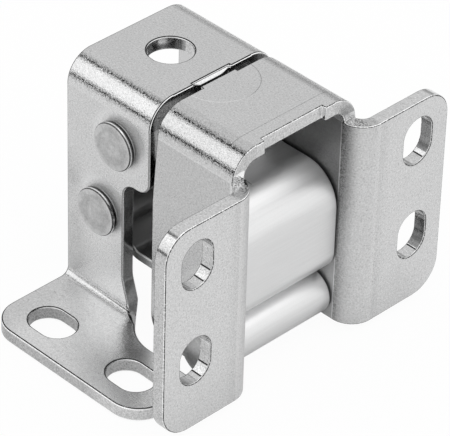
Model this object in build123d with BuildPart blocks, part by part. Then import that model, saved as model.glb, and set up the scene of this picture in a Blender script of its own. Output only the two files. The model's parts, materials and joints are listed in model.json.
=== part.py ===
from build123d import *
from math import acos, atan2, cos, degrees, hypot, radians, sin
import os

# Concealed multi-joint hinge: a frame bracket and a door bracket of bent sheet, two levers
# between their legs and four riveted pins. It is drawn closed, standing on the frame bracket's
# flanges. +X points from the frame bracket to the door, +Y runs across the hinge and +Z points
# away from the mounting face. The origin is the centre of the four flange slots, on that face.
# Lengths are in millimetres. A height is counted from the mounting face.

# Sheet, channel and slots, shared by both brackets
sheet = 2.5
channel_width = 27.0
height = 45.0
bend_inside = 2.5
slot_width = 6.4
slot_length = 8.7
slot_pitch = 18.5
slot_gauge = 48.6

# Frame bracket. Its depth, length and reach are counted from its back edge.
frame_depth = 19.3
frame_slot_inset = 8.5
flange_length = 35.5
flange_width = 17.5
flange_corner = 5.5
flange_end_corner = 2.5
foot_bend_inside = 1.4
foot_reach = 14.6
foot_middle_reach = 15.4
flange_edge_reach = 17.9
web_hole = 7.6
notch_height = 27.5
notch_depth = 6.0
notch_shoulder_radius = 2.7
notch_corner_radius = 2.6
flare_height = 4.3
flare_radius = 6.0
flange_relief = 4.1
flange_relief_run = 2.9
flange_relief_radius = 8.5
frame_recess = 0.45
frame_recess_width = 8.0

# Door bracket. Its depth is counted from the back edge of its legs.
leg_gap = 0.7
web_gap = 1.6
door_depth = 21.5
door_web_inset = 3.8
door_recess = 0.9
door_recess_width = 13.2
web_tab = 0.55
web_tab_width = 7.6
lean_start = 28.0
heel_radius = 4.5
ear_width = 17.6
ear_bottom = 0.9
ear_bend_inside = 1.9
ear_top_corner = 5.0
ear_bottom_corner = 5.5
ear_slot_drop = 12.6

# Pivots: the frame's from its back edge, the door's from the front face of its ears
frame_upper_reach = 12.3
frame_upper_drop = 10.4
frame_lower_reach = 8.4
frame_lower_height = 19.9
door_upper_inset = 8.3
door_upper_height = 14.9
door_lower_inset = 8.6
door_lower_height = 5.2

# Pins and washers
pin_diameter = 5.0
head_diameter = 8.4
head_height = 1.0
head_edge = 0.15
washer_diameter = 7.7
washer_thickness = 0.6
washer_edge = 0.1
rivet_clearance = 0.02
running_clearance = 0.05

# Levers
lever_side_gap = 0.3
lever_edge = 0.25
upper_hub_radius = 4.4
upper_knuckle_radius = 4.2
upper_drop = 4.25
upper_neck_run = 11.5
upper_neck_radius = 5.0
upper_shoulder_radius = 6.8
upper_top_wall = 3.6
upper_front_wall = 4.5
pocket_radius = 4.6
pocket_foot_radius = 1.5
lower_hub_radius = 4.2
barrel_radius = 4.05
lower_sheet = 1.75
belly_drop = 8.9
belly_start = 4.6
belly_end = 10.2
belly_radius = 3.0

# Sizes that follow from the ones above
bend_outside = bend_inside + sheet
foot_bend_outside = foot_bend_inside + sheet
ear_bend_outside = ear_bend_inside + sheet
half_width = channel_width / 2
inner_half_width = half_width - sheet
lever_half_width = inner_half_width - lever_side_gap
back = -(frame_slot_inset + slot_pitch / 2)
frame_front = back + frame_depth
flange_front = back + flange_length
flange_side = half_width + flange_width
foot_front = back + foot_reach
foot_middle = back + foot_middle_reach
flange_edge = back + flange_edge_reach
foot_bend_side = half_width + foot_bend_inside
leg_back = frame_front + leg_gap
web_back = frame_front + web_gap
door_front = leg_back + door_depth
ear_back = door_front - sheet
bend_start = door_front - ear_bend_outside
web_front = door_front - door_web_inset
ear_side = half_width + ear_width
ear_top = height - bend_outside
head_seat = half_width + washer_thickness
side_view = Plane.XZ

# Places of the pivots in the side view, as X and Z
frame_upper = (back + frame_upper_reach, height - frame_upper_drop)
frame_lower = (back + frame_lower_reach, frame_lower_height)
door_upper = (door_front - door_upper_inset, door_upper_height)
door_lower = (door_front - door_lower_inset, door_lower_height)

os.makedirs("parts", exist_ok=True)


def corner_at(shape, place):
    """Vertex of a sketch that lies nearest to a place."""
    return shape.vertices().sort_by(lambda v: hypot(v.X - place[0], v.Y - place[1]))[0]


def on_circle(centre, radius, angle):
    """Point of a circle in the side view, at an angle in degrees from +X."""
    return (centre[0] + radius * cos(radians(angle)), centre[1] + radius * sin(radians(angle)))


def touch_angle(centre, radius, place, side):
    """Angle at which a line from a place touches a circle, counter-clockwise (1) or clockwise (-1)."""
    run = place[0] - centre[0]
    rise = place[1] - centre[1]
    return degrees(atan2(rise, run)) + side * degrees(acos(radius / hypot(run, rise)))


# Space in front of the bend from a leg into its flange. Its edge lies square to the bent sheet.
foot_turns = [(0, foot_front), (45, foot_middle), (90, flange_edge)]
with BuildPart() as foot_space:
    for turn, edge in foot_turns:
        outward = (0, sin(radians(turn)), -cos(radians(turn)))
        with BuildSketch(Plane((edge, foot_bend_side, foot_bend_outside), x_dir=(1, 0, 0), z_dir=outward)):
            with Locations((0, foot_bend_inside / 2)):
                Rectangle(flange_length, 2 * foot_bend_outside, align=(Align.MIN, Align.MIN))
    loft()


# Frame bracket: a hat section, cut back in front of its legs
notch_back = frame_front - notch_depth
flare_top = foot_bend_outside + flare_height
relief_side = half_width + flange_relief
relief_turn = (flange_edge + flange_relief_run, relief_side)
with BuildPart() as frame_bracket:
    with BuildSketch(Plane.YZ.offset(back)) as hat:
        with Locations((0, height / 2)):
            Rectangle(channel_width, height)
        with Locations((0, sheet / 2)):
            Rectangle(2 * flange_side, sheet)
        with Locations((0, (height - sheet) / 2)):
            Rectangle(2 * inner_half_width, height - sheet, mode=Mode.SUBTRACT)
        for side in (-1, 1):
            fillet(corner_at(hat, (side * half_width, height)), bend_outside)
            fillet(corner_at(hat, (side * inner_half_width, height - sheet)), bend_inside)
            fillet(corner_at(hat, (side * inner_half_width, 0)), foot_bend_outside)
            fillet(corner_at(hat, (side * half_width, sheet)), foot_bend_inside)
    extrude(amount=flange_length)

    with BuildSketch(side_view) as before_leg:
        with BuildLine():
            Polyline(
                (frame_front, height + 1),
                (frame_front, notch_height),
                (notch_back, notch_height),
                (notch_back, flare_top),
                (foot_front, foot_bend_outside),
                (flange_front + 1, foot_bend_outside),
                (flange_front + 1, height + 1),
                close=True,
            )
        make_face()
        fillet(corner_at(before_leg, (frame_front, notch_height)), notch_shoulder_radius)
        fillet(corner_at(before_leg, (notch_back, notch_height)), notch_corner_radius)
        fillet(corner_at(before_leg, (notch_back, flare_top)), flare_radius)
    extrude(amount=half_width, both=True, mode=Mode.SUBTRACT)
    add(foot_space.part, mode=Mode.SUBTRACT)
    add(mirror(foot_space.part, about=Plane.XZ, mode=Mode.PRIVATE), mode=Mode.SUBTRACT)

    with BuildSketch(Plane.XY) as between_flanges:
        with BuildLine():
            Polyline(
                (flange_edge, foot_bend_side),
                relief_turn,
                (flange_front + 1, relief_side),
                (flange_front + 1, foot_bend_side),
                close=True,
            )
        make_face()
        fillet(corner_at(between_flanges, relief_turn), flange_relief_radius)
        mirror(about=Plane.XZ)
    extrude(amount=sheet, mode=Mode.SUBTRACT)

    upright = frame_bracket.edges().filter_by(Axis.Z)
    outer_corners = upright.filter_by(lambda e: abs(e.center().Y) > flange_side - 0.01)
    fillet(outer_corners, flange_corner)
    upright = frame_bracket.edges().filter_by(Axis.Z)
    flange_ends = upright.filter_by(lambda e: e.center().X > flange_front - 0.01)
    fillet(flange_ends.filter_by(lambda e: abs(e.center().Y) < relief_side + 0.01), flange_end_corner)

    with BuildSketch(Plane.XY) as flange_slots:
        with GridLocations(slot_pitch, slot_gauge, 2, 2):
            SlotOverall(slot_length, slot_width)
    extrude(amount=sheet, mode=Mode.SUBTRACT)

    with BuildSketch(Plane.XY.offset(height - sheet)) as web_cuts:
        with Locations((back + frame_depth / 2, 0)):
            Circle(web_hole / 2)
        with Locations((frame_front, 0)):
            Rectangle(2 * frame_recess, frame_recess_width)
    extrude(amount=sheet, mode=Mode.SUBTRACT)

    with BuildSketch(side_view) as frame_rivet_holes:
        with Locations(frame_upper, frame_lower):
            Circle(pin_diameter / 2 + rivet_clearance)
    extrude(amount=half_width, both=True, mode=Mode.SUBTRACT)
frame_bracket.part.label = "frame_bracket"
export_step(frame_bracket.part, "parts/frame_bracket.step")


# Door bracket: a channel whose legs turn out at the front into two ears
with BuildPart() as door_bracket:
    with BuildSketch(Plane.YZ.offset(leg_back)) as channel:
        with Locations((0, height)):
            Rectangle(channel_width, height - ear_bottom, align=(Align.CENTER, Align.MAX))
        with Locations((0, height - sheet)):
            Rectangle(2 * inner_half_width, height, align=(Align.CENTER, Align.MAX), mode=Mode.SUBTRACT)
        for side in (-1, 1):
            fillet(corner_at(channel, (side * half_width, height)), bend_outside)
            fillet(corner_at(channel, (side * inner_half_width, height - sheet)), bend_inside)
    extrude(amount=web_front - leg_back)

    with BuildSketch(Plane.XY) as under_web_front:
        with Locations((bend_start, 0)):
            Rectangle(door_front - bend_start, channel_width, align=(Align.MIN, Align.CENTER))
    extrude(amount=ear_top, mode=Mode.SUBTRACT)

    with BuildSketch(Plane.XY.offset(ear_bottom)) as legs_and_ears:
        with Locations((door_front, inner_half_width)):
            Rectangle(door_depth, sheet, align=(Align.MAX, Align.MIN))
            Rectangle(sheet, sheet + ear_width, align=(Align.MAX, Align.MIN))
        fillet(corner_at(legs_and_ears, (door_front, inner_half_width)), ear_bend_outside)
        fillet(corner_at(legs_and_ears, (ear_back, half_width)), ear_bend_inside)
        mirror(about=Plane.XZ)
    extrude(amount=ear_top - ear_bottom)

    with BuildSketch(side_view) as door_side:
        with BuildLine():
            Polyline(
                (leg_back, ear_bottom),
                (leg_back, lean_start),
                (web_back, ear_top),
                (web_back, height),
                (door_front, height),
                (door_front, ear_bottom),
                close=True,
            )
        make_face()
        fillet(corner_at(door_side, (leg_back, ear_bottom)), heel_radius)
    extrude(amount=ear_side, both=True, mode=Mode.INTERSECT)

    ear_edges = door_bracket.edges().filter_by(Axis.X).filter_by(lambda e: abs(e.center().Y) > ear_side - 0.01)
    fillet(ear_edges.filter_by(lambda e: e.center().Z < ear_bottom + 0.01), ear_bottom_corner)
    ear_edges = door_bracket.edges().filter_by(Axis.X).filter_by(lambda e: abs(e.center().Y) > ear_side - 0.01)
    fillet(ear_edges.filter_by(lambda e: e.center().Z > ear_top - 0.01), ear_top_corner)

    with BuildSketch(Plane.XY.offset(height - sheet)) as web_recess:
        with Locations((web_front, 0)):
            Rectangle(2 * door_recess, door_recess_width)
    extrude(amount=sheet, mode=Mode.SUBTRACT)

    with BuildSketch(Plane.XY.offset(height - sheet)) as tab:
        with Locations((web_back - web_tab, 0)):
            Rectangle(2 * web_tab, web_tab_width, align=(Align.MIN, Align.CENTER))
    extrude(amount=sheet)

    with BuildSketch(Plane.YZ.offset(ear_back)) as ear_slots:
        with Locations((0, height - ear_slot_drop - slot_pitch / 2)):
            with GridLocations(slot_gauge, slot_pitch, 2, 2):
                SlotOverall(slot_length, slot_width, rotation=90)
    extrude(amount=sheet, mode=Mode.SUBTRACT)

    with BuildSketch(side_view) as door_rivet_holes:
        with Locations(door_upper, door_lower):
            Circle(pin_diameter / 2 + rivet_clearance)
    extrude(amount=half_width, both=True, mode=Mode.SUBTRACT)
door_bracket.part.label = "door_bracket"
export_step(door_bracket.part, "parts/door_bracket.step")


# Upper lever: a gooseneck from the frame's upper pin, over the other lever, to the door's upper pin
lever_front = door_upper[0] + upper_knuckle_radius
upper_top = frame_upper[1] - upper_drop
neck = (frame_upper[0] + upper_neck_run, upper_top)
shoulder = (lever_front, upper_top)
pocket = (lever_front - upper_front_wall, upper_top - upper_top_wall)
hub_over = touch_angle(frame_upper, upper_hub_radius, neck, 1)
hub_under = touch_angle(frame_upper, upper_hub_radius, pocket, -1)
pocket_foot_angle = degrees(acos((pocket[0] - door_upper[0]) / upper_knuckle_radius))
pocket_foot = on_circle(door_upper, upper_knuckle_radius, pocket_foot_angle)
pocket_room = pocket[1] - pocket_foot[1] - pocket_foot_radius
with BuildPart() as upper_lever:
    with BuildSketch(side_view) as gooseneck:
        with BuildLine():
            CenterArc(frame_upper, upper_hub_radius, hub_over, 360 + hub_under - hub_over)
            Polyline(
                on_circle(frame_upper, upper_hub_radius, hub_over),
                neck,
                shoulder,
                (lever_front, door_upper[1]),
            )
            CenterArc(door_upper, upper_knuckle_radius, pocket_foot_angle, 360 - pocket_foot_angle)
            Polyline(
                pocket_foot,
                pocket,
                on_circle(frame_upper, upper_hub_radius, hub_under),
            )
        make_face()
        fillet(corner_at(gooseneck, neck), upper_neck_radius)
        fillet(corner_at(gooseneck, shoulder), upper_shoulder_radius)
        fillet(corner_at(gooseneck, pocket), min(pocket_radius, pocket_room))
        fillet(corner_at(gooseneck, pocket_foot), pocket_foot_radius)
    extrude(amount=lever_half_width, both=True)
    chamfer(upper_lever.faces().filter_by(Axis.Y).edges(), lever_edge)

    with BuildSketch(side_view) as upper_bores:
        with Locations(frame_upper, door_upper):
            Circle(pin_diameter / 2 + running_clearance)
    extrude(amount=lever_half_width, both=True, mode=Mode.SUBTRACT)
upper_lever.part.label = "upper_lever"
export_step(upper_lever.part, "parts/upper_lever.step")


# Lower lever: a bent strip with an eye at each end
hub_middle = lower_hub_radius - lower_sheet / 2
barrel_middle = barrel_radius - lower_sheet / 2
belly_height = frame_lower[1] - belly_drop + lower_sheet / 2
belly_back = (frame_lower[0] + belly_start, belly_height)
belly_front = (frame_lower[0] + belly_end, belly_height)
hub_leave = touch_angle(frame_lower, hub_middle, belly_back, -1)
barrel_leave = touch_angle(door_lower, barrel_middle, belly_front, 1)
with BuildPart() as lower_lever:
    with BuildSketch(side_view) as strip:
        with BuildLine() as strip_middle:
            Polyline(
                on_circle(frame_lower, hub_middle, hub_leave),
                belly_back,
                belly_front,
                on_circle(door_lower, barrel_middle, barrel_leave),
            )
            fillet(strip_middle.vertices().sort_by(Axis.X)[1:3], belly_radius)
        trace(line_width=lower_sheet)
        with Locations(frame_lower):
            Circle(lower_hub_radius)
        with Locations(door_lower):
            Circle(barrel_radius)
    extrude(amount=lever_half_width, both=True)
    chamfer(lower_lever.faces().filter_by(Axis.Y).edges(), lever_edge)

    with BuildSketch(side_view) as lower_bores:
        with Locations(frame_lower, door_lower):
            Circle(pin_diameter / 2 + running_clearance)
    extrude(amount=lever_half_width, both=True, mode=Mode.SUBTRACT)
lower_lever.part.label = "lower_lever"
export_step(lower_lever.part, "parts/lower_lever.step")


def save_pin(name, place, inner_end):
    """Riveted pin at a pivot. On each side it runs from its inner end out to a flat head."""
    with BuildPart() as pin:
        for toward in (-1, 1):
            with BuildSketch(side_view.offset(toward * inner_end)) as shank:
                with Locations(place):
                    Circle(pin_diameter / 2)
            extrude(amount=toward * (head_seat - inner_end))
            with BuildSketch(side_view.offset(toward * head_seat)) as head:
                with Locations(place):
                    Circle(head_diameter / 2)
            extrude(amount=toward * head_height)
        ends = pin.faces().filter_by(Axis.Y).sort_by(lambda f: abs(f.center().Y))[-2:]
        chamfer(ends.edges(), head_edge)
    pin.part.label = name
    export_step(pin.part, f"parts/{name}.step")


def save_washer(name, place, toward):
    """Ring that lies between the outside of a leg and the head of a pin."""
    with BuildPart() as washer:
        with BuildSketch(side_view.offset(toward * half_width)) as ring:
            with Locations(place):
                Circle(washer_diameter / 2)
                Circle(pin_diameter / 2 + rivet_clearance, mode=Mode.SUBTRACT)
        extrude(amount=toward * washer_thickness)
        rims = washer.edges().filter_by(GeomType.CIRCLE).sort_by(lambda e: e.radius)[-2:]
        chamfer(rims, washer_edge)
    washer.part.label = name
    export_step(washer.part, f"parts/{name}.step")


# The frame's lower pin ends flush with the inner faces of the legs. The other pins run through.
pins = [
    ("frame_upper", frame_upper, 0),
    ("frame_lower", frame_lower, inner_half_width),
    ("door_upper", door_upper, 0),
    ("door_lower", door_lower, 0),
]
for pivot_name, pivot, inner_end in pins:
    save_pin(f"{pivot_name}_pin", pivot, inner_end)
    save_washer(f"{pivot_name}_washer_left", pivot, 1)
    save_washer(f"{pivot_name}_washer_right", pivot, -1)
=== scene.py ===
import bpy
import json
import math
from mathutils import Matrix, Vector


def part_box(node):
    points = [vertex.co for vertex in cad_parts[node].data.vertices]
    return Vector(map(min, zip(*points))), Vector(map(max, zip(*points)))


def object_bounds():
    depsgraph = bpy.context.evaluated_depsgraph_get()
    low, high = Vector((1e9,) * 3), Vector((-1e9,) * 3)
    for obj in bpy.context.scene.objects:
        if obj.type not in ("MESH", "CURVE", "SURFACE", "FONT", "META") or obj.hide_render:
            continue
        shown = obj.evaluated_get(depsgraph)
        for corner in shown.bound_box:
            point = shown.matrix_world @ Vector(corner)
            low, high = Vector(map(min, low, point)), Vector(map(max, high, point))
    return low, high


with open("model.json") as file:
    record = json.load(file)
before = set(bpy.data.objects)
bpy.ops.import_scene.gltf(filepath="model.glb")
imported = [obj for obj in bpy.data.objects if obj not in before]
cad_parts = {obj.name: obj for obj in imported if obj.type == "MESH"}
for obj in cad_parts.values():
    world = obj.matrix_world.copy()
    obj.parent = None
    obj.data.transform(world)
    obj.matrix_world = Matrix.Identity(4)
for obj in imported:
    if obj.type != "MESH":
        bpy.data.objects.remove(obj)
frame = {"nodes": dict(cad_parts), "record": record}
cad_low, cad_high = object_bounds()

# A concealed hinge on a pale floor. The CAD nodes keep their meshes. They get rounded edges and
# finishes: plated sheet for the two brackets, smooth plate for the levers, turned steel for the
# pins and washers. Places and sizes on the hinge are in millimetres. A tone runs from 0, black,
# to 1, white. A mask is 1 in its region and 0 outside it.
MM = 0.001


def in_mm(metres):
    """Millimetres, without the rounding errors of the mesh."""
    return round(metres / MM, 3)


def rivet_middle(washer_name):
    """X and Z of a rivet's middle, which is its washer's."""
    low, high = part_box(washer_name)
    return in_mm((low[0] + high[0]) / 2), in_mm((low[2] + high[2]) / 2)


def reach_out(node_name):
    """How far from the middle plane a node on one side of the hinge starts."""
    low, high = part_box(node_name)
    return in_mm(min(abs(low[1]), abs(high[1])))


mounts = {mount["name"]: mount for mount in frame["record"]["mounts"]}
slot_sizes = mounts["frame_slots"]["dims"]
hole_sizes = mounts["web_hole"]["dims"]

# The hinge and its sheet. BEND is the outside of the bends from web to leg
HEIGHT = in_mm(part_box("frame_bracket")[1][2])
DOOR_FRONT = in_mm(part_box("door_bracket")[1][0])
HALF_WIDTH = reach_out("frame_upper_washer_left")
SHEET = hole_sizes["length_mm"]
BEND = 2 * SHEET

# Frame bracket: the bend from leg to flange, the web's hole, and the web's front edge with its
# recess, which shines from the middle of the sheet upwards
FOOT_BEND_INSIDE = 1.4
FOOT_BEND = FOOT_BEND_INSIDE + SHEET
WEB_HOLE_X = in_mm(mounts["web_hole"]["pos_m"][0])
WEB_HOLE_RADIUS = hole_sizes["r_mm"]
WEB_EDGE_X = 0.6
RECESS_HALF = 4.1
RECESS_LIT_Z = HEIGHT - SHEET / 2

# Door bracket: the bend from leg to ear, where a painted highlight marks the bend's start, marks of the
# press on the web, and painted highlights at its corners
EAR_BEND_INSIDE = 1.9
EAR_BEND_START = DOOR_FRONT - EAR_BEND_INSIDE - SHEET
CREASE_HIGHLIGHT_SIDE = 12.0
SCRIBE_X = 16.6
RING_X = 3.05
RING_RADIUS = 6.5
CORNER_X = 18.4
CORNER_SIDE = 12.4
CORNER_Z = 40.9

# Slots, in pairs on the flanges and on the ears
SLOT_WIDTH = 2 * slot_sizes["hole_r_mm"]
SLOT_LENGTH = slot_sizes["slot_length_mm"]
SLOT_PITCH = slot_sizes["spacing_x_mm"]
SLOT_GAUGE = slot_sizes["spacing_y_mm"]
EAR_SLOT_MIDDLE = in_mm(mounts["door_slots_left"]["pos_m"][2])

# Rivets: their places, a head's radius, and how far over the leg's face the painted light and shade on a
# rivet's side lie: a painted light ring on the washer, painted shade at the head's foot and a painted
# highlight on the head
FRAME_RIVETS = [rivet_middle("frame_upper_washer_left"), rivet_middle("frame_lower_washer_left")]
DOOR_RIVETS = [rivet_middle("door_upper_washer_left"), rivet_middle("door_lower_washer_left")]
HEAD_RADIUS = 4.2
WASHER_LIT_RING = 0.26
HEAD_FOOT_SHADE = 0.72
HEAD_HIGHLIGHT_RING = 1.26

# How far a mask takes from 0 to 1 where two regions meet
SEAM = 0.02

# Widths of the roundings, how near points of a mesh are joined before it, and the angles in
# degrees under which faces count as one flat, and over which an edge counts as sharp
FRAME_EDGE = 0.36
DOOR_EDGE = 0.26
LEVER_EDGE = 0.10
PIN_EDGE = 0.06
POINT_JOIN = 0.002
DOOR_POINT_JOIN = 0.15
FLAT_ANGLE = 0.3
SHARP_ANGLE = 35.0

# Tones of the metals and the painted shade of the rivets' sides, the slight blue tint of zinc, the highest
# gloss and the depths of grain
SHEET_TONE = 0.615
LEVER_TONE = 0.68
LEVER_END_TONE = 0.46
RIVET_FACE_TONE = 0.46
RIVET_WALL_SHADE_TONE = 0.08
DARKEST = 0.02
LIGHTEST = 0.96
GREEN_TINT = 1.002
BLUE_TINT = 1.004
SMOOTHEST = 0.07
SHEET_GRAIN = 0.022
RIVET_GRAIN = 0.03

# The photo's camera, in millimetres
CAMERA_PLACE = Vector((318.95, -316.37, 344.33))
CAMERA_RIGHT = Vector((0.69740836, 0.71627841, 0.02380805))
CAMERA_UP = Vector((-0.43587605, 0.3975549, 0.80744175))
LENS = 275.0
SENSOR = 36.0

# The studio: strengths of its parts, the light wall's lower and upper end in degrees over the
# floor, the ways to the dark place and to the glow, and the floor and lamp in metres
SURROUNDINGS = 0.86
WALL_LIGHT = 1.42
GLOW_AHEAD = 0.42
WALL_FOOT = 8.0
WALL_TOP = 73.0
WAY_TO_DARK = (-0.58, 0.81)
WAY_TO_GLOW = (0.589, 0.573, 0.569)
WHITE = (1.0, 1.0, 1.0, 1.0)
FLOOR_COLOR = (0.8, 0.8, 0.8, 1.0)
FLOOR_SIZE = 6.0
FLOOR_DROP = 0.0002
LAMP_PLACE = Vector((0.1, -0.1, 0.9))
LAMP_TARGET = Vector((0.0, 0.0, 0.022))
LAMP_SIZE = 0.6
LAMP_POWER = 1.0


class Value:
    """A number that varies over a surface. Sums and products of it add Math nodes."""

    def __init__(self, tree, socket):
        self.tree = tree
        self.socket = socket

    def _maths(self, operation, *values, clamp=False):
        node = self.tree.nodes.new("ShaderNodeMath")
        node.operation = operation
        node.use_clamp = clamp
        for slot, value in zip(node.inputs, values):
            if isinstance(value, Value):
                self.tree.links.new(value.socket, slot)
            else:
                slot.default_value = value
        return Value(self.tree, node.outputs[0])

    def __add__(self, other):
        return self._maths("ADD", self, other)

    def __radd__(self, other):
        return self._maths("ADD", other, self)

    def __sub__(self, other):
        return self._maths("SUBTRACT", self, other)

    def __rsub__(self, other):
        return self._maths("SUBTRACT", other, self)

    def __mul__(self, other):
        return self._maths("MULTIPLY", self, other)

    def __rmul__(self, other):
        return self._maths("MULTIPLY", other, self)

    def __truediv__(self, other):
        return self._maths("DIVIDE", self, other)

    def abs(self):
        return self._maths("ABSOLUTE", self)

    def max(self, other):
        return self._maths("MAXIMUM", self, other)

    def min(self, other):
        return self._maths("MINIMUM", self, other)

    def sine(self):
        return self._maths("SINE", self)

    def clamp(self):
        return self._maths("ADD", self, 0.0, clamp=True)

    def angle(self, other):
        """Angle of the point (other, self) in degrees from the first axis."""
        return self._maths("ARCTAN2", self, other) * (180.0 / math.pi)

    def away(self, other):
        """Distance of the point (self, other) from the origin."""
        return self._maths("SQRT", self * self + other * other)

    def fade(self, start, end):
        """0 at start and 1 at end, smooth between them. Start may be the larger."""
        part = ((self - start) / (end - start)).clamp()
        return part * part * (3.0 - 2.0 * part)

    def past(self, start, seam=SEAM):
        """1 past start and 0 before it."""
        return self.fade(start, start + seam)

    def band(self, centre, half, soft):
        """1 within half of centre, and 0 beyond that and a soft edge."""
        return (self - centre).abs().fade(half + soft, half)

    def swing(self):
        """How far a noise is from its middle."""
        return self - 0.5


class Shading:
    """The nodes of a material or of the studio's surroundings."""

    def __init__(self, owner):
        owner.use_nodes = True
        self.tree = owner.node_tree
        self.tree.nodes.clear()

    def node(self, kind, settings, sockets, output=0):
        """One node of a kind, with its settings and its sockets' values or links."""
        node = self.tree.nodes.new(kind)
        for key, value in settings.items():
            setattr(node, key, value)
        for key, value in sockets.items():
            slot = node.inputs[key]
            if isinstance(value, Value):
                self.tree.links.new(value.socket, slot)
            else:
                slot.default_value = value
        return Value(self.tree, node.outputs[output]) if node.outputs else None

    def parts(self, vector):
        """X, Y and Z of a vector."""
        return [self.node("ShaderNodeSeparateXYZ", {}, {0: vector}, output=axis) for axis in "XYZ"]


class Surface(Shading):
    """A material under construction, with its pattern on object coordinates in millimetres."""

    def __init__(self, name, tone=0.0):
        self.material = bpy.data.materials.new(name)
        super().__init__(self.material)
        place = self.node("ShaderNodeTexCoord", {}, {}, output="Object")
        scaling = {0: place, "Scale": 1.0 / MM}
        self.place = self.node("ShaderNodeVectorMath", {"operation": "SCALE"}, scaling)
        self.x, self.y, self.z = self.parts(self.place)
        facing = self.node("ShaderNodeTexCoord", {}, {}, output="Normal")
        self.nx, self.ny, self.nz = self.parts(facing)
        self.side = self.y.abs()
        self.tone = tone

    def noise(self, size, detail=2.0, rough=0.6, stretch=(1.0, 1.0, 1.0), shift=0.0):
        """Noise from 0 to 1 with grains of about size millimetres."""
        location = (shift, shift * 0.7, shift * 1.3)
        scale = tuple(part / size for part in stretch)
        where = {"Vector": self.place, "Location": location, "Scale": scale}
        grain = self.node("ShaderNodeMapping", {}, where)
        look = {"Vector": grain, "Scale": 1.0, "Detail": detail, "Roughness": rough}
        return self.node("ShaderNodeTexNoise", {"noise_dimensions": "3D"}, look)

    def open(self, reach):
        """How open the place is: 1 in the open, 0 deep inside, within reach millimetres."""
        sockets = {"Distance": reach * MM}
        return self.node("ShaderNodeAmbientOcclusion", {"samples": 8}, sockets, output="AO")

    def from_rivet(self, rivets):
        """Distance in the side view to the middle of the nearest of some rivets."""
        nearest = None
        for rivet_x, rivet_z in rivets:
            distance = (self.x - rivet_x).away(self.z - rivet_z)
            nearest = distance if nearest is None else nearest.min(distance)
        return nearest

    def lighten(self, mask, by):
        """Adds to the tone in a region."""
        self.tone = self.tone + mask * by

    def darken(self, mask, by):
        """Takes from the tone in a region."""
        self.tone = self.tone - mask * by

    def paint(self, mask, tone):
        """Gives a region a tone of its own."""
        self.tone = self.tone + mask * (tone - self.tone)

    def metal(self, roughness, height, depth, bump=1.0):
        """Ends the material in bare metal of its tone. A height of 1 stands depth metres proud."""
        tint = {"Red": self.tone, "Green": self.tone * GREEN_TINT, "Blue": self.tone * BLUE_TINT}
        color = self.node("ShaderNodeCombineColor", {}, tint)
        relief = self.node("ShaderNodeBump", {}, {"Strength": bump, "Distance": depth, "Height": height})
        look = {"Base Color": color, "Metallic": 1.0, "Roughness": roughness, "Normal": relief}
        shader = self.node("ShaderNodeBsdfPrincipled", {}, look)
        self.node("ShaderNodeOutputMaterial", {}, {"Surface": shader})
        return self.material


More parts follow.
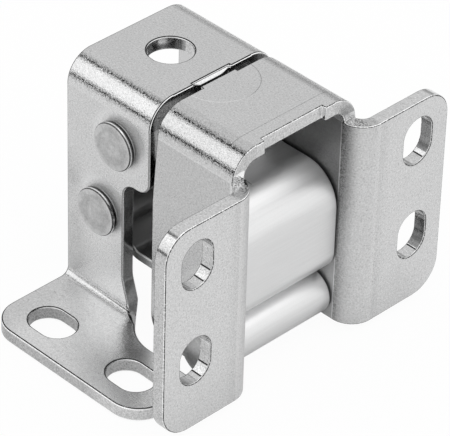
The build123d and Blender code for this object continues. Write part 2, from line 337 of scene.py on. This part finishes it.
class PlatedSheet(Surface):
    """Zinc-plated bent sheet: satin faces with a fine grain, grainy bends with painted dark reflection
    lines along them, and sheared edges.

    A bracket finds its own regions, and then calls tone_faces, tone_edges and plate, with the
    marks of its own between them.
    """

    def __init__(self, name):
        super().__init__(name, SHEET_TONE)
        self.facing_out = self.ny * self.y / self.side
        self.fine = self.noise(0.16)
        self.speck = self.noise(0.30, shift=7.0)
        self.dot = self.noise(0.22, detail=1.0, rough=0.5, shift=5.0)
        self.streak = self.noise(0.25, shift=11.0)
        self.cloud = self.noise(4.0, detail=3.0, rough=0.5, shift=3.0)
        self.in_web = self.z.past(HEIGHT - BEND)
        self.flat_web = self.in_web * (1.0 - self.side.past(HALF_WIDTH - BEND))
        self.web_bend = self.in_web - self.flat_web

    def find_bend(self):
        """The outside of the web's bends. across is 0 in a bend's middle, BEND where the web starts."""
        over = self.z - (HEIGHT - BEND)
        beside = self.side - (HALF_WIDTH - BEND)
        self.across = over - beside
        outward = (self.facing_out + self.nz).fade(0.4, 0.7)
        self.bend = self.across.abs().fade(BEND, BEND - 0.6) * outward * (1.0 - self.cut_face)

    def bend_dark_reflections(self, web_side, leg_side, soft):
        """Painted dark reflection lines along both sides of a bend."""
        lines = self.across.band(web_side, 0.10, soft).max(self.across.band(-leg_side, 0.10, soft))
        return lines * self.bend

    def tone_faces(self, leg, along, rivets):
        """Grain and clouds, painted dark reflection lines along the bends, and rougher rings round the
        rivets, painted lighter to offset the heads' dark reflection.

        along is how far a face lies in the sheet's own surface: 1 on the sheet, 0 on a cut edge.
        """
        self.leg = leg
        self.cut = (1.0 - along).clamp()
        self.cut_face = self.cut.fade(0.72, 0.96)
        self.inner = leg * self.facing_out.fade(0.0, -0.8)
        self.find_bend()
        grain = (self.fine.swing() * 0.5 + self.speck.swing()) * (1.0 - 0.6 * self.inner)
        self.tone = self.tone + 0.05 * self.cloud.swing() + 0.42 * grain
        self.darken(self.speck.fade(0.36, 0.26) * (1.0 - self.inner), by=0.10)
        self.lighten(self.bend * self.fine.swing(), by=0.35)
        # Painted dark reflection lines, broad and fine, along both sides of the web's bends
        self.darken(self.bend_dark_reflections(2.05, 2.75, soft=1.1) * self.dot.fade(0.54, 0.42), by=0.36)
        self.darken(self.bend_dark_reflections(1.95, 2.62, soft=0.22) * self.dot.fade(0.66, 0.46), by=0.26)
        # Rings round the rivets: rougher, and painted lighter to offset the heads' dark reflection
        rough_lit_ring = self.from_rivet(rivets).fade(HEAD_RADIUS + 2.4, HEAD_RADIUS + 0.7) * leg
        rough_lit_ring = rough_lit_ring * (1.0 - self.inner) * (1.0 - self.cut_face)
        self.lighten(rough_lit_ring, by=0.15)
        self.roughness = 0.24 + 0.06 * self.cloud.swing() - 0.09 * self.bend + 0.36 * rough_lit_ring
        bump = 1.0 - 0.6 * self.cut_face + 0.8 * self.bend - 0.5 * self.inner
        self.height = (self.fine * 0.5 + self.speck) * bump

    def by_hole(self, distance, radius):
        """Mask round a hole, from the distance to its middle or middle line."""
        return distance.fade(radius + 1.2, radius + 0.7)

    def by_slots(self, along):
        """Mask round the two slots of a pair, from the place along the line that they lie on."""
        straight = SLOT_LENGTH - SLOT_WIDTH
        run = ((along.abs() - SLOT_PITCH / 2).abs() - straight / 2).max(0.0)
        return self.by_hole(run.away(self.side - SLOT_GAUGE / 2), SLOT_WIDTH / 2)

    def tone_edges(self, hole, unbroken, behind=0.0):
        """Streaks on the sheared edges, and broken lines along their roundings: a painted dark reflection
        on the sheet's side and a painted highlight on the cut's side.

        unbroken is how little a line is broken. behind is where a rounding faces back. There the painted
        dark line covers nearly all of it, with no highlight.
        """
        self.lighten(self.cut_face, by=0.50 * self.streak.swing() - 0.11)
        # Painted dark reflection along the roundings, on the sheet's side
        dark = self.cut.fade(0.006, 0.02) * self.cut.fade(0.36, 0.26)
        dark = dark.max(behind * self.cut.fade(1.0, 0.93) * self.cut.fade(0.10, 0.30))
        dark = dark * self.streak.fade(unbroken, unbroken - 0.14) * (1.0 - 0.4 * self.leg)
        self.paint(dark, 0.03)
        # Painted highlight along the roundings, on the cut's side
        pale = self.cut.fade(0.32, 0.42) * self.cut.fade(0.80, 0.65) * (1.0 - behind)
        pale = pale * self.streak.fade(1.04 - unbroken, 1.20 - unbroken)
        self.paint(pale * (1.0 - 0.8 * hole.max(self.leg)), 0.95)
        hole_wall = hole * self.cut_face
        self.roughness = self.roughness - 0.08 * self.cut.fade(0.02, 0.2) - 0.08 * hole_wall
        self.height = self.height * (1.0 - 0.9 * hole_wall)

    def shade_gap(self):
        """Darkens the narrow gap between the two brackets' webs and legs."""
        by_gap = self.x.fade(8.0, 2.0) * self.z.fade(28.0, 36.0)
        closed = 1.0 - self.open(5.0).fade(0.05, 0.35)
        self.tone = self.tone * (1.0 - 0.6 * by_gap * closed)

    def plate(self):
        """Ends the material, within the tones and the gloss that plated sheet has."""
        self.tone = self.tone.max(DARKEST).min(LIGHTEST)
        return self.metal(self.roughness.max(SMOOTHEST), self.height, depth=SHEET_GRAIN * MM)


def frame_plate():
    """Finish of the frame bracket: web, legs and slotted flanges."""
    s = PlatedSheet("frame_plate")
    low = 1.0 - s.z.past(FOOT_BEND - SEAM)
    flange = low * s.side.past(HALF_WIDTH + FOOT_BEND_INSIDE)
    leg = (1.0 - s.in_web) * (1.0 - low)
    bends = s.web_bend + (low - flange)
    along = leg * s.ny.abs() + (s.flat_web + flange) * s.nz.abs() + bends * (1.0 - s.nx * s.nx)
    s.tone_faces(leg, along, FRAME_RIVETS)

    # The leg is lighter low down, and darker and cloudy low at its back
    s.darken(leg, by=0.03 - 0.09 * s.z.fade(20.0, 11.0) * s.x.fade(-15.0, -10.0))
    back = leg * s.x.fade(-12.5, -16.0) * s.z.fade(30.0, 24.0)
    s.darken(back, by=0.05 + 0.3 * s.cloud.swing())
    # Painted shade: the leg's cut faces are darker higher up
    s.darken(s.cut_face * leg * s.z.fade(6.0, 15.0), by=0.1)

    # The flange is lighter towards its front, and speckled between the foot and its front slot
    s.lighten(flange, by=0.11 * s.x.fade(-15.0, -9.0) + 0.12 * s.x.fade(5.0, 10.0))
    neck = s.x.fade(-3.0, 2.5) * s.x.fade(8.0, 5.5) * s.side.fade(19.5, 16.0) * low
    s.darken(neck * s.speck.fade(0.60, 0.42), by=0.22)
    s.darken(s.cut_face * flange, by=0.17)

    round_hole = s.by_hole((s.x - WEB_HOLE_X).away(s.y), WEB_HOLE_RADIUS) * s.in_web
    s.tone_edges((s.by_slots(s.x) * low).max(round_hole), unbroken=0.76)
    s.shade_gap()

    # The web's front edge is dark in the gap. Its recess catches light over a line that climbs
    # towards its ends
    edge = s.cut.fade(0.5, 0.8) * s.in_web * s.x.fade(WEB_EDGE_X, WEB_EDGE_X + 0.2)
    recess = edge * s.side.fade(RECESS_HALF, RECESS_HALF - 0.5)
    s.darken(edge * (1.0 - recess), by=0.32 + 0.4 * s.streak.swing())
    over_line = s.z - RECESS_LIT_Z - 0.7 * s.side.fade(2.0, 4.2)
    lit = recess * over_line.fade(0.0, 0.35)
    s.darken(recess - lit, by=0.5)
    s.paint(lit, 0.72 + 0.7 * s.streak.swing())
    s.height = s.height + lit * (RECESS_LIT_Z - s.z) * 32.0
    return s.plate()


def door_plate():
    """Finish of the door bracket: web, legs and slotted ears."""
    s = PlatedSheet("door_plate")
    ear = s.side.past(HALF_WIDTH + EAR_BEND_INSIDE, seam=0.05)
    ear_bend = s.x.past(EAR_BEND_START) * (1.0 - ear) * (1.0 - s.in_web)
    leg = (1.0 - s.in_web) * (1.0 - ear) * (1.0 - ear_bend)
    along = leg * s.ny.abs() + s.flat_web * s.nz.abs() + ear * s.nx.abs()
    along = along + s.web_bend * (1.0 - s.nx * s.nx) + ear_bend * (1.0 - s.nz * s.nz)
    s.tone_faces(leg, along, DOOR_RIVETS)
    facing_up = s.nz.fade(0.5, 0.9)

    # Marks of the press on the web, a line and a ring, and a painted highlight where the leg turns into
    # the ear
    crease_highlight = s.x.band(EAR_BEND_START, half=0.05, soft=0.10) * s.side.fade(CREASE_HIGHLIGHT_SIDE, CREASE_HIGHLIGHT_SIDE - 0.4)
    s.lighten(crease_highlight * (1.0 - s.in_web), by=0.40)
    scribe = s.x.band(SCRIBE_X, half=0.03, soft=0.09) * s.z.fade(HEIGHT - 0.8, HEIGHT - 0.4)
    s.darken(scribe * facing_up, by=0.20)
    # The ring is a real mark, with painted light on one side and painted shade on the other
    ring = (s.x - RING_X).away(s.y).band(RING_RADIUS, half=0.03, soft=0.09)
    s.lighten(ring * s.flat_web * facing_up, by=s.y.fade(2.0, -3.0) * 0.42 - 0.24)

    # Painted shade: the leg and the bends are darker than the ear, above all inside, and the ear is darker
    # next to the leg
    s.darken(leg * (1.0 - s.inner), by=0.12)
    s.darken(s.inner, by=0.36 * s.z.fade(12.0, 30.0) - 0.10 * s.z.fade(31.0, 35.0))
    s.darken(s.bend, by=0.06)
    bend_inside = ear_bend * s.facing_out.fade(0.0, -0.3)
    s.darken(bend_inside * s.x.fade(21.2, 19.6), by=0.08 + 0.08 * s.speck.fade(0.60, 0.40))
    s.darken(bend_inside * s.x.fade(22.8, 20.5) * s.z.fade(14.0, 30.0), by=0.22)
    s.darken(ear * s.nx.fade(0.5, 0.9) * s.side.fade(18.2, 15.6), by=0.05)
    s.roughness = s.roughness + 0.26 * (s.inner + bend_inside)

    # Edges, lighter in painted light: the web's front with the ends of its step and the ears' tops. The
    # inner corners get a painted highlight with dark specks below it
    s.lighten(s.cut_face * s.flat_web, by=0.05)
    s.lighten(s.flat_web * s.ny.abs().fade(0.7, 0.9) * s.x.fade(18.6, 18.9), by=0.25)
    s.lighten(s.cut_face * ear * facing_up, by=0.14)
    # Painted highlight on the inner corners, with dark specks below it
    corner = s.cut_face * s.x.fade(CORNER_X, CORNER_X + 0.4) * s.side.band(CORNER_SIDE, half=1.2, soft=0.3)
    s.lighten(corner * s.z.band(CORNER_Z, half=0.5, soft=0.3), by=0.4)
    specks = s.z.band(CORNER_Z - 0.8, half=0.1, soft=0.3) * s.streak.fade(0.55, 0.42)
    s.darken(corner * specks, by=0.25)
    slots = s.by_slots(s.z - EAR_SLOT_MIDDLE) * ear
    s.tone_edges(slots, unbroken=0.66, behind=ear * s.nx.fade(-0.1, -0.3))
    s.shade_gap()
    return s.plate()


def lever_plate(name, upper):
    """Smooth satin plate of the levers, with faint draw lines across them, painted shade within the frame
    and painted light on the tops.

    The upper lever's shoulder is a little flatter than a round, as press work leaves it.
    """
    s = Surface(name, LEVER_TONE)
    lines = s.noise(0.35, rough=0.5, stretch=(1.0, 0.04, 1.0))
    cloud = s.noise(6.0, detail=1.0, rough=0.5)
    fine = s.noise(0.2, shift=5.0)
    s.tone = s.tone + 0.08 * lines.swing() + 0.04 * cloud.swing() + 0.06 * fine.swing()
    s.paint(s.ny.abs().fade(0.80, 0.97), LEVER_END_TONE + 0.3 * fine.swing())
    # Painted shade: the levers are darker within the frame
    shaded_in_frame = s.x.fade(2.0, -3.0)
    s.tone = s.tone * (1.0 - 0.42 * shaded_in_frame)
    roughness = 0.36 + 0.08 * cloud.swing()
    height = lines * 0.002
    if upper:
        # Painted light: the upper lever's top faces are lighter
        s.lighten(s.nz.fade(0.72, 0.98), by=0.20)
        roughness = roughness + 0.20 * s.x.fade(10.5, 12.0) * s.x.fade(15.0, 13.4)
        height = height - s.x.fade(11.6, 16.8) * 1.45
    else:
        # Painted light: the lower lever's barrel is lighter on top at its front end
        s.lighten(s.x.fade(13.0, 14.5) * s.nz.fade(0.6, 0.95), by=0.26)
    return s.metal(roughness, height, depth=MM)


def turned_steel():
    """Riveted heads and washers: faint rings on the face, and grooves round the rim under painted light
    and shade on the side.
    """
    s = Surface("turned_steel", RIVET_FACE_TONE)
    fine = s.noise(0.25, detail=3.0)
    cloud = s.noise(1.8, detail=3.0, rough=0.55)
    radius = s.from_rivet(FRAME_RIVETS + DOOR_RIVETS)
    ring_pitch = 1.1
    rings = ((radius + 1.2 * cloud.swing()) * (2.0 * math.pi / ring_pitch)).sine()
    s.tone = s.tone + 0.34 * cloud.swing() + 0.36 * fine.swing() + 0.025 * rings * cloud.fade(0.35, 0.6)
    s.darken(radius.band(2.6, half=0.3, soft=0.5), by=0.04)
    s.lighten(radius.fade(HEAD_RADIUS - 0.8, HEAD_RADIUS - 0.2), by=0.08)

    # Painted light and shade on the side: dark overall, a lit ring on the washer, painted shade at the
    # head's foot and a painted highlight on the head
    depth = s.side - HALF_WIDTH
    wall = RIVET_WALL_SHADE_TONE + 0.35 * fine.swing() + 0.34 * depth.band(WASHER_LIT_RING, half=0.22, soft=0.08)
    wall = wall + 0.86 * depth.band(HEAD_HIGHLIGHT_RING, half=0.08, soft=0.10)
    wall = wall - 0.12 * depth.band(HEAD_FOOT_SHADE, half=0.12, soft=0.08)
    on_wall = 1.0 - s.ny.abs().fade(0.80, 0.97)
    s.paint(on_wall, wall.max(0.03))
    return s.metal(0.36 - 0.14 * on_wall, fine, depth=RIVET_GRAIN * MM, bump=0.25)


def round_edges(node, width, join=POINT_JOIN):
    """Softens the sharp edges of a piece as tumbling and plating do, and keeps its flats flat."""
    weld = node.modifiers.new("weld", "WELD")
    weld.merge_threshold = join * MM
    flat = node.modifiers.new("flat", "DECIMATE")
    flat.decimate_type = "DISSOLVE"
    flat.angle_limit = math.radians(FLAT_ANGLE)
    edge = node.modifiers.new("edge", "BEVEL")
    edge.width = width * MM
    edge.segments = 3
    edge.limit_method = "ANGLE"
    edge.angle_limit = math.radians(SHARP_ANGLE)
    edge.harden_normals = False
    edge.use_clamp_overlap = False
    smooth = node.modifiers.new("smooth", "WEIGHTED_NORMAL")
    smooth.mode = "FACE_AREA"
    smooth.weight = 50
    smooth.keep_sharp = False


def aim_camera():
    """The camera that took the photo: its place, its turn and its long lens."""
    data = bpy.data.cameras.new("photo_camera")
    data.sensor_width = SENSOR
    data.lens = LENS
    data.clip_start = 0.05
    data.clip_end = 20.0
    data.dof.use_dof = False
    camera = bpy.data.objects.new("photo_camera", data)
    bpy.context.scene.collection.objects.link(camera)
    backward = CAMERA_RIGHT.cross(CAMERA_UP)
    turn = Matrix((CAMERA_RIGHT, CAMERA_UP, backward)).transposed().to_4x4()
    camera.matrix_world = Matrix.Translation(CAMERA_PLACE * MM) @ turn
    bpy.context.scene.camera = camera


def white_floor():
    """A pale floor, white to the camera and to the metal, with a faint shadow round the hinge."""
    bpy.ops.mesh.primitive_plane_add(size=FLOOR_SIZE, location=(0, 0, cad_low[2] - FLOOR_DROP))
    floor = bpy.context.object
    floor.name = "floor"
    s = Surface("white_floor")
    diffuse = s.node("ShaderNodeBsdfDiffuse", {}, {"Color": FLOOR_COLOR})
    white = s.node("ShaderNodeEmission", {}, {"Color": WHITE, "Strength": 1.0})
    camera = s.node("ShaderNodeLightPath", {}, {}, output="Is Camera Ray")
    glossy = s.node("ShaderNodeLightPath", {}, {}, output="Is Glossy Ray")
    glossy = glossy.max(s.node("ShaderNodeLightPath", {}, {}, output="Is Transmission Ray"))
    beside = s.x.abs().max(s.side).fade(12.0, 40.0)
    mixed = s.node("ShaderNodeMixShader", {}, {0: camera * 0.95 + glossy * beside, 1: diffuse, 2: white})
    s.node("ShaderNodeOutputMaterial", {}, {"Surface": mixed})
    floor.data.materials.append(s.material)


def studio_world():
    """Pale surroundings with a light wall on the left, dark beyond its top and foot.

    The camera sees plain white. A glow stands in front of the hinge on the right, and a darker
    place low behind it on the right.
    """
    world = bpy.data.worlds.new("studio")
    bpy.context.scene.world = world
    s = Shading(world)
    toward = s.node("ShaderNodeTexCoord", {}, {}, output="Generated")
    x, y, z = s.parts(toward)
    rise = z.angle(0.0 - y)
    left = y.fade(0.25, -0.05) * x.fade(0.45, 0.15)
    lit = rise.fade(WALL_FOOT, WALL_FOOT + 3.0) * rise.fade(WALL_TOP, WALL_TOP - 3.0) * left
    around_wall = rise.fade(WALL_FOOT - 9.0, WALL_FOOT - 7.0) * rise.fade(WALL_TOP + 9.0, WALL_TOP + 6.0)
    far = (x * WAY_TO_DARK[0] + y * WAY_TO_DARK[1]).fade(0.78, 0.92) * z.fade(0.36, 0.24)
    ahead = x * WAY_TO_GLOW[0] + y * WAY_TO_GLOW[1] + z * WAY_TO_GLOW[2]
    glow = SURROUNDINGS * (1.0 - around_wall * left) * (1.0 - 0.5 * far)
    glow = glow + WALL_LIGHT * lit + GLOW_AHEAD * ahead.fade(0.55, 0.95)
    light = s.node("ShaderNodeBackground", {}, {"Color": WHITE, "Strength": glow})
    white = s.node("ShaderNodeBackground", {}, {"Color": WHITE, "Strength": 1.0})
    seen = s.node("ShaderNodeLightPath", {}, {}, output="Is Camera Ray")
    mixed = s.node("ShaderNodeMixShader", {}, {0: seen, 1: light, 2: white})
    s.node("ShaderNodeOutputWorld", {}, {"Surface": mixed})


def top_lamp():
    """A large soft lamp that looks down at the hinge."""
    data = bpy.data.lights.new("top_fill", "AREA")
    data.shape = "SQUARE"
    data.size = LAMP_SIZE
    data.energy = LAMP_POWER
    lamp = bpy.data.objects.new("top_fill", data)
    bpy.context.scene.collection.objects.link(lamp)
    lamp.location = LAMP_PLACE
    lamp.rotation_euler = (LAMP_TARGET - LAMP_PLACE).to_track_quat("-Z", "Y").to_euler()


rivet_finish = turned_steel()
finishes = {
    "frame_bracket": frame_plate(),
    "door_bracket": door_plate(),
    "upper_lever": lever_plate("upper_lever_steel", upper=True),
    "lower_lever": lever_plate("lower_lever_steel", upper=False),
}
for node_name, node in frame["nodes"].items():
    if node_name == "frame_bracket":
        round_edges(node, FRAME_EDGE)
    elif node_name == "door_bracket":
        round_edges(node, DOOR_EDGE, DOOR_POINT_JOIN)
    elif node_name in finishes:
        round_edges(node, LEVER_EDGE)
    else:
        round_edges(node, PIN_EDGE)
    for material_slot in node.material_slots:
        material_slot.material = finishes.get(node_name, rivet_finish)

aim_camera()
white_floor()
studio_world()
top_lamp()
bpy.context.scene.view_settings.view_transform = "Standard"
